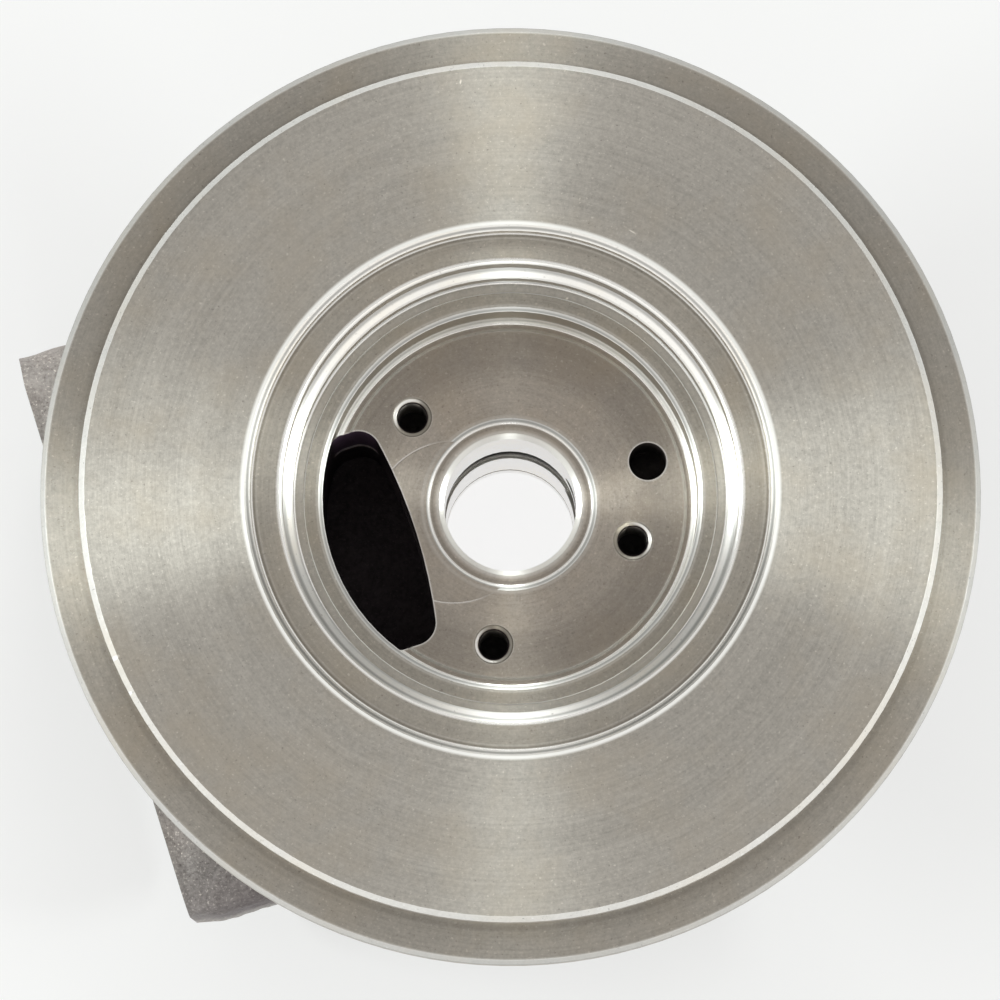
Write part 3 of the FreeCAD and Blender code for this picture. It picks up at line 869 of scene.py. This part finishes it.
def turnedIron(name, look):
    # turned iron: fine rings round the shaft axis, streaked highlights, specks and blotches
    look = {**plainTurning, **look}
    material, bench, shader = shaded(name)
    place, height, radius, away = ringCoordinates(bench)
    rings, tone = turnedPattern(bench, look, place, height, radius, away)
    colour = turnedTint(bench, name, look, place, radius, tone)
    shine = ringBands(bench, radius, look["shine"]) if "shine" in look else None
    rounded, feet = None, None
    if "tilt" in look:
        rounded, shine, feet = leaningRings(bench, look, radius, height, away, shine)
    if "up" in look:
        rounded = risingLips(bench, look, radius)
    if "wearSheen" in look:
        wearAndSheen = wearAndSheenEdges(bench, look, radius)
        shine = wearAndSheen if shine is None else strongest(bench, [shine, wearAndSheen])
        if rounded is None:
            rounded = bench.add("ShaderNodeBevel", samples=4, Radius=0.16 * mm).outputs[0]
    shader.inputs["Metallic"].default_value = look["metal"]
    if shine is not None:
        # the shining rings, bright feet and worn edges turn pale and less metallic: painted highlight, partly
        # burnish and wear
        colour = bench.mix(shine, colour, turning["wearAndSheen"])
        share = bench.ramp(shine, 0.0, 1.0, look["metal"], 0.8 if "tilt" in look else 0.4)
        if "deepMetal" in look:
            low, high = turning["thrustBore"]
            most = bench.ramp(radius, low * mm, high * mm, look["deepMetal"], 1.0)
            share = bench.math("MINIMUM", share, most)
        # the feet are nearly matt, so their pale colour shows as a painted highlight
        if feet is not None:
            share = bench.times(share, bench.ramp(feet, 0.0, 1.0, 1.0, 0.1))
        bench.link(share, shader.inputs["Metallic"])
    bench.link(colour, shader.inputs["Base Color"])
    rough = bench.ramp(tone, 0.3, 0.7, look["rough"] - 0.05, look["rough"] + 0.07)
    if "polish" in look:
        rough = bench.times(rough, bench.ramp(shine, 0.0, 1.0, 1.0, look["polish"]))
    bench.link(rough, shader.inputs["Roughness"])
    shader.inputs["Anisotropic"].default_value = look["aniso"]
    shader.inputs["Anisotropic Rotation"].default_value = 0.25
    tangent = bench.vector("CROSS_PRODUCT", (0.0, 0.0, 1.0), away)
    bench.link(tangent, shader.inputs["Tangent"])
    bench.link(bench.bump(rings, look["bump"], 0.02 * mm, rounded), shader.inputs["Normal"])
    return material


def castSkin(name, colour, darkness, gritty=1.0):
    # sand cast iron: gritty, dull, slightly warm, with dark pits and a few bright grains
    material, bench, shader = shaded(name)
    place = bench.read("Object")
    grit = bench.noise(place, 2100.0, 3.0, 0.7)
    lumps = bench.noise(place, 520.0, 4.0, 0.65)
    patches = bench.noise(place, 60.0, 3.0, 0.5)
    grains = bench.noise(place, 3300.0, 1.0, 0.5)
    tone = bench.math("ADD", bench.times(grit, 0.6), bench.times(lumps, 0.4))
    shade = bench.mix(bench.ramp(tone, 0.38, 0.58), scaled(colour, (darkness,) * 3), colour)
    shade = tinted(bench, shade, colour, [
        (bench.ramp(patches, 0.4, 0.7, 0.0, 0.5), (1.08, 0.95, 0.90)),
        (bench.ramp(grains, 0.62, 0.74, 0.0, 0.8 * gritty), (1.9, 1.9, 1.85)),
        (bench.ramp(grains, 0.36, 0.26, 0.0, 0.7 * gritty), (0.35, 0.32, 0.33)),
    ])
    bench.link(shade, shader.inputs["Base Color"])
    shader.inputs["Metallic"].default_value = 0.35
    bench.link(bench.ramp(tone, 0.3, 0.7, 0.66, 0.50), shader.inputs["Roughness"])
    low = bench.bump(lumps, 0.6 * gritty, 0.22 * mm)
    bench.link(bench.bump(grit, 0.6 * gritty, 0.10 * mm, low), shader.inputs["Normal"])
    return material, bench, shader, shade


earShade = {
    # painted shade on the end of the lower ear, which lies in the rim's shade: place, reach and how dark it
    # is
    "at": (-27.5, -45.5, 26.0),
    "reach": (4.0, 15.0),
    "amount": 0.85,
    "colour": (0.085, 0.062, 0.068),
}


def skinWithEarShade(name, colour, darkness):
    # the cast skin, with a painted shade on the lower ear as a soft ball of darker colour
    material, bench, shader, shade = castSkin(name, colour, darkness)
    place = bench.read("Object")
    offset = bench.vector("SUBTRACT", place, tuple(v * mm for v in earShade["at"]))
    full, faded = earShade["reach"]
    spread = bench.ramp(bench.vector("LENGTH", offset), full * mm, faded * mm, earShade["amount"], 0.0)
    # painted shade mixed into the skin's colour
    bench.link(bench.mix(spread, shade, earShade["colour"]), shader.inputs["Base Color"])
    return material


cavity = {
    # deep is painted shade, nearly black; upper and the pale band are painted light on the walls that face
    # the front
    "deep": (0.05, 0.037, 0.042),
    "upper": (0.15, 0.095, 0.16),
    "step": (0.95, 0.85, 0.85),
    "stepHeight": 25.9,
    "stepHalf": (1.0, 1.5),      # half height of the pale band of painted light, and where it has faded
}


def cavityIron(name, look):
    # cast walls painted almost black as painted shade, with painted light on the walls that face the front:
    # paler above a height, and a pale band at that height
    material, bench, shader, shade = castSkin(name, look["deep"], 0.5)
    height, step = bench.split(bench.read("Object"))[2], look["stepHeight"] * mm
    front = bench.ramp(bench.split(bench.read("Normal"))[1], -0.55, -0.80)
    upper = bench.times(front, bench.math("GREATER_THAN", height, step))
    away = bench.apart(height, step)
    full, faded = look["stepHalf"]
    lit = bench.times(front, bench.ramp(away, full * mm, faded * mm, 1.0, 0.0))
    # paler above the band's height and pale at it, on walls that face the front: painted light
    colour = bench.mix(upper, shade, look["upper"])
    colour = bench.mix(lit, colour, look["step"])
    bench.link(colour, shader.inputs["Base Color"])
    return material


def sunkIron(name, colour):
    # countersinks and thread walls: plain cut metal, with a painted highlight on the side that faces right,
    # which is lighter
    material, bench, shader = shaded(name)
    place = bench.read("Object")
    facing = bench.read("Normal")
    tone = bench.noise(place, 1800.0, 2.0, 0.6)
    # painted highlight and shade: lighter where the surface faces right, darker where it faces away
    side = bench.vector("DOT_PRODUCT", facing, (0.72, -0.45, 0.0))
    dark, pale = scaled(colour, (0.7,) * 3), scaled(colour, (1.5,) * 3)
    shade = bench.mix(bench.ramp(side, -0.15, 0.5), dark, pale)
    shade = bench.mix(bench.ramp(tone, 0.3, 0.7, 0.0, 0.3), shade, colour)
    bench.link(bench.ramp(tone, 0.3, 0.7, 0.30, 0.40), shader.inputs["Roughness"])
    return material, bench, shader, shade, place


def cutIron(name, colour):
    material, bench, shader, shade = sunkIron(name, colour)[:4]
    bench.link(shade, shader.inputs["Base Color"])
    shader.inputs["Metallic"].default_value = 0.6
    return material


sinkRings = {
    # countersinks of the screw holes: a painted shade at the inner edge, a burnished ring with a painted
    # highlight (radius, half width) and for each hole the way in which that painted highlight is brightest
    "dark": 1.80,
    "darkFade": 0.06,
    "bright": (1.98, 0.19),
    "lean": 1.6,                 # how far the burnished ring leans upwards
    "ways": [(-0.80, 0.60), (-1.0, -0.1), (0.90, 0.35)],
    "colour": (0.40, 0.37, 0.33),
    "mouthShade": (0.03, 0.02, 0.03),
    "wearAndSheen": (0.97, 0.95, 0.92),
}


def ringedSink(name):
    # cut metal with a painted shade at each hole's inner edge and a ring of wear and painted highlight,
    # brightest on one side of each hole
    look = sinkRings
    material, bench, shader, shade, place = sunkIron(name, look["colour"])
    middle, half = look["bright"]
    rings, inners = [], []
    for (x, y), (wayX, wayY) in zip(screwPlaces(), look["ways"]):
        offset = bench.vector("SUBTRACT", place, (x * mm, y * mm, 0.0))
        offset = bench.vector("MULTIPLY", offset, (1.0, 1.0, 0.0))
        away = bench.vector("LENGTH", offset)
        side = bench.vector("DOT_PRODUCT", bench.vector("NORMALIZE", offset), (wayX, wayY, 0.0))
        ring = bench.ramp(bench.apart(away, middle * mm), half * mm * 0.4, half * mm, 1.0, 0.0)
        rings.append(bench.times(ring, bench.ramp(side, 0.1, 0.85, 0.30, 1.0)))
        start = (look["dark"] - look["darkFade"]) * mm
        inners.append(bench.ramp(away, start, look["dark"] * mm, 1.0, 0.0))
    # the ring is wear and painted highlight, brighter on one side of each hole; the hole's inner edge is
    # painted shade
    bright = strongest(bench, rings)
    shade = bench.mix(strongest(bench, inners), shade, look["mouthShade"])
    bench.link(bench.mix(bright, shade, look["wearAndSheen"]), shader.inputs["Base Color"])
    shader.inputs["Metallic"].default_value = 0.75
    lift = bench.combine(0.0, 0.0, bench.times(bright, look["lean"]))
    bench.link(bench.vector("NORMALIZE", bench.leaning(lift)), shader.inputs["Normal"])
    return material


castColours = {
    # colour, how dark its dark grains are and how gritty it is
    "skin": ((0.475, 0.445, 0.425), 0.60),
    # drilled holes are nearly black: painted shade inside the holes
    "drilled": ((0.13, 0.115, 0.11), 0.7, 0.3),
    "milled": ((0.44, 0.42, 0.39), 0.85, 0.3),
}
cutColours = {
    "thread": (0.30, 0.28, 0.26),
    "sink": (0.66, 0.63, 0.58),
}


def makeMaterials():
    materials = {name: turnedIron("turned_" + name, look) for name, look in finishes.items()}
    materials["skin"] = skinWithEarShade("cast_skin", *castColours["skin"])
    materials["cavity"] = cavityIron("cast_cavity", cavity)
    materials["drilled"] = castSkin("drilled_iron", *castColours["drilled"])[0]
    materials["thread"] = cutIron("cut_thread", cutColours["thread"])
    materials["sink"] = cutIron("countersunk_iron", cutColours["sink"])
    materials["ringed"] = ringedSink("countersunk_screw_holes")
    materials["milled"] = castSkin("milled_iron", *castColours["milled"])[0]
    return materials


studio = {
    "lens": 274.36,
    "sensor": 36.0,
    "cameraFromRim": 855.0,
    "rimHeight": 57.1,
    "tilt": 4.9,
    "axisRight": 1.19,       # where the shaft axis stands in the view, from its centre
    "axisUp": 0.70,
    "zenith": 0.66,          # light from straight above, as metal sees it
    "horizon": 1.0,
    "ambient": 0.70,         # light on matt surfaces
    "ambientLean": 0.45,     # how much more of that comes from behind the housing
    "cornerDip": 0.85,       # the two far corners of the room are darker
    "cornerLift": 0.32,      # and the two near ones lighter
    "cornerWidth": (0.07, 0.38),
    "surround": (1.0, 0.985, 0.965, 1.0),
    "floorTone": 0.43,
    "floorGlow": 0.50,
    "boreGlow": 0.34,        # a painted pool of light on the floor under the bore, which is seen lit from below
    "boreGlowFade": (14.0, 24.0),
    "floorHalf": 3.0,        # metres
}

coolWhite = (0.94, 1.0, 0.97)
lamps = {
    "left": {"at": (-620, -8, 430), "size": (200, 40), "power": 2.3},
    "right": {"at": (620, -52, 430), "size": (200, 40), "power": 1.5},
    "back": {"at": (-4, 650, 560), "size": (150, 260), "power": 0.85},
    "front": {"at": (10, -700, 560), "size": (130, 200), "power": 0.30},
}


def makeCamera():
    data = bpy.data.cameras.new("view")
    data.lens = studio["lens"]
    data.sensor_width = studio["sensor"]
    data.clip_start = 0.05
    data.clip_end = 20.0
    camera = newObject("view", data)
    tilt = math.radians(studio["tilt"])
    back = Vector((0.0, -math.sin(tilt), math.cos(tilt)))
    up = Vector((0.0, math.cos(tilt), math.sin(tilt)))
    right = Vector((1.0, 0.0, 0.0))
    target = Vector((0.0, 0.0, studio["rimHeight"]))
    aside = right * studio["axisRight"] + up * studio["axisUp"]
    spot = target + back * studio["cameraFromRim"] - aside
    turn = Matrix((right, up, back)).transposed().to_4x4()
    camera.matrix_world = Matrix.Translation(spot * mm) @ turn
    bpy.context.scene.camera = camera


def makeLamps():
    for name, lamp in lamps.items():
        data = bpy.data.lights.new("lamp_" + name, "AREA")
        data.shape = "RECTANGLE"
        data.size, data.size_y = (s * mm for s in lamp["size"])
        data.energy = lamp["power"]
        data.color = coolWhite
        light = newObject("lamp_" + name, data)
        spot = Vector(lamp["at"]) * mm
        aim = Vector((0.0, 0.0, 0.05)) - spot
        light.rotation_euler = aim.to_track_quat("-Z", "Y").to_euler()
        light.location = spot


def makeWorld():
    # matt surfaces get an even light that leans to the back; the camera and metal see a white
    # surround that grows greyer overhead, and both see its darker and lighter corners
    world = bpy.data.worlds.new("studio")
    bpy.context.scene.world = world
    bench = nodeBench(world)
    right, back, up = bench.split(bench.read("Generated"))
    low = bench.ramp(up, 0.90, 0.48)
    sideways = bench.math("ABSOLUTE", right)
    front = bench.times(back, -1.0)
    farCorners, nearCorners = (
        bench.times(sideways, bench.math("MAXIMUM", half, 0.0)) for half in (back, front)
    )
    start, full = studio["cornerWidth"]
    dip = bench.times(bench.ramp(farCorners, start, full, 0.0, studio["cornerDip"]), low)
    lift = bench.times(bench.ramp(nearCorners, start, full, 0.0, studio["cornerLift"]), low)
    corners = bench.math("ADD", bench.math("SUBTRACT", 1.0, dip), lift)
    plain = bench.add("ShaderNodeBackground", Color=studio["surround"])
    lean = bench.math("MULTIPLY_ADD", back, studio["ambientLean"], studio["ambient"])
    bench.link(bench.times(lean, corners), plain.inputs["Strength"])
    seen = bench.add("ShaderNodeBackground", Color=studio["surround"])
    overhead = bench.ramp(up, 0.45, 0.95, studio["horizon"], studio["zenith"])
    bench.link(bench.times(overhead, corners), seen.inputs["Strength"])
    mix = bench.add("ShaderNodeMixShader")
    bench.link(bench.seenRays(), mix.inputs[0])
    bench.link(plain.outputs[0], mix.inputs[1])
    bench.link(seen.outputs[0], mix.inputs[2])
    bench.link(mix.outputs[0], bench.add("ShaderNodeOutputWorld").inputs[0])


def makeFloor():
    # plain pale floor just under the turbine end, glowing a little for the camera and metal, and more under
    # the bore as a painted pool of light
    half = studio["floorHalf"]
    low = cadBox[0][2] - 0.0001
    mesh = bpy.data.meshes.new("floor")
    corners = [(-half, -half, low), (half, -half, low), (half, half, low), (-half, half, low)]
    mesh.from_pydata(corners, [], [(0, 1, 2, 3)])
    floor = newObject("floor", mesh)
    material = bpy.data.materials.new("floor_paper")
    bench = nodeBench(material)
    output = bench.add("ShaderNodeOutputMaterial")
    tone = studio["floorTone"]
    paper = bench.add("ShaderNodeBsdfDiffuse", Color=(tone, tone, tone, 1.0))
    glow = bench.add("ShaderNodeEmission", Color=(1.0, 1.0, 1.0, 1.0))
    spot = bench.vector("LENGTH", bench.read("Object"))
    inner, outer = studio["boreGlowFade"]
    plainGlow = studio["floorGlow"]
    # painted pool of light: the floor glows more under the bore
    light = bench.ramp(spot, inner * mm, outer * mm, plainGlow + studio["boreGlow"], plainGlow)
    bench.link(bench.times(bench.seenRays(), light), glow.inputs["Strength"])
    both = bench.add("ShaderNodeAddShader")
    bench.link(paper.outputs[0], both.inputs[0])
    bench.link(glow.outputs[0], both.inputs[1])
    bench.link(both.outputs[0], output.inputs[0])
    mesh.materials.append(material)


materials = makeMaterials()
print("materials: made", len(materials))
housing = makeHousing(materials)
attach(housing, "root")
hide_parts("bearing_housing")
makeCamera()
makeLamps()
makeWorld()
makeFloor()
bpy.context.scene.view_settings.view_transform = "Standard"
print("studio: camera, lamps and floor made")

bpy.context.view_layer.update()
